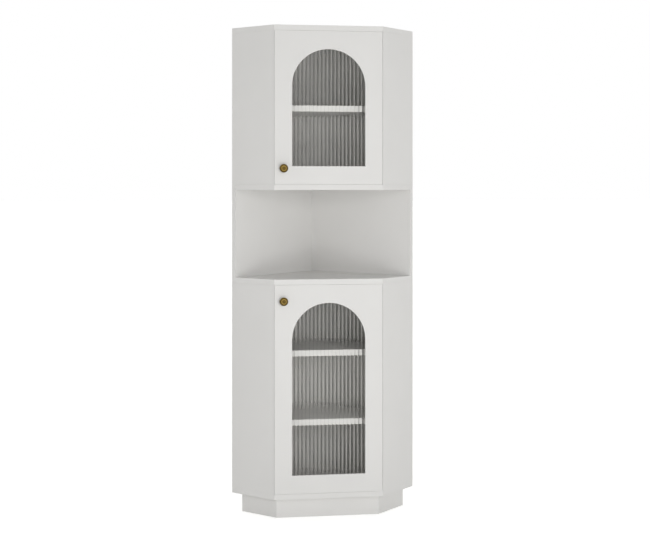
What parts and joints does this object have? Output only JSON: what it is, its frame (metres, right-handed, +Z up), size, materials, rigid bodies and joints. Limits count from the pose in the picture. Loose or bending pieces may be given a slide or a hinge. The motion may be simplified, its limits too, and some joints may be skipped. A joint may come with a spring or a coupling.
{
  "type": "corner bathroom cabinet",
  "caption": "Tall five-sided corner cabinet: arched reeded-glass doors above and below an open niche, inner shelves, round knobs, pivot hinges and a recessed plinth.",
  "frame": {"origin": "on the floor, at the centre of the cabinet's overall box", "axes": "+Z up; the front and its doors look along -Y; the room corner is at +Y; +X is to the right seen from the front"},
  "size_m": [0.6164, 0.4602, 1.615],
  "materials": {
    "painted_board": "satin white paint on fibreboard",
    "reeded_glass": "clear glass, reeded on its front",
    "aged_brass": "aged satin brass",
    "zinc_steel": "bright zinc plate",
    "white_plastic": "moulded",
    "raw_wood": "unfinished hardwood"
  },
  "bodies": {
    "cabinet": {"top_board": "painted_board", "upper_floor_board": "painted_board", "counter_board": "painted_board", "bottom_board": "painted_board", "upper_left_back": "painted_board", "upper_right_back": "painted_board", "upper_left_side": "painted_board", "upper_right_side": "painted_board", "lower_left_back": "painted_board", "lower_right_back": "painted_board", "lower_left_side": "painted_board", "lower_right_side": "painted_board", "upper_shelf": "painted_board", "lower_low_shelf": "painted_board", "lower_high_shelf": "painted_board", "plinth_front": "painted_board", "plinth_left": "painted_board", "plinth_right": "painted_board", "plinth_back_left": "painted_board", "plinth_back_right": "painted_board", "plinth_blocks": "raw_wood", "plinth_screws": "zinc_steel", "upper_dowels": "raw_wood", "lower_dowels": "raw_wood", "cam_locks": "zinc_steel", "cam_bolts": "zinc_steel", "corner_screws": "zinc_steel", "floor_board_screws": "zinc_steel", "upper_shelf_pins": "zinc_steel", "lower_shelf_pins": "zinc_steel", "wall_brackets": "zinc_steel", "wall_bracket_screws": "zinc_steel", "upper_hinge_bushes": "white_plastic", "lower_hinge_bushes": "white_plastic", "upper_magnet_catch": "white_plastic", "lower_magnet_catch": "white_plastic", "catch_screws": "zinc_steel"},
    "upper_door": {"upper_door_panel": "painted_board", "upper_glass": "reeded_glass", "upper_glass_clips": "zinc_steel", "upper_clip_screws": "zinc_steel", "upper_knob": "aged_brass", "upper_knob_screw": "zinc_steel", "upper_hinge_pins": "zinc_steel", "upper_strike_plate": "zinc_steel", "upper_strike_screw": "zinc_steel"},
    "lower_door": {"lower_door_panel": "painted_board", "lower_glass": "reeded_glass", "lower_glass_clips": "zinc_steel", "lower_clip_screws": "zinc_steel", "lower_knob": "aged_brass", "lower_knob_screw": "zinc_steel", "lower_hinge_pins": "zinc_steel", "lower_strike_plate": "zinc_steel", "lower_strike_screw": "zinc_steel"}
  },
  "joints": [
    {"name": "upper_door_hinge", "type": "hinge", "parent": "cabinet", "child": "upper_door", "pos_m": [0.15585, -0.20151, 1.34505], "axis": [0, 0, 1], "range_deg": [0, 110]},
    {"name": "lower_door_hinge", "type": "hinge", "parent": "cabinet", "child": "lower_door", "pos_m": [0.15585, -0.20151, 0.42315], "axis": [0, 0, 1], "range_deg": [0, 110]}
  ]
}
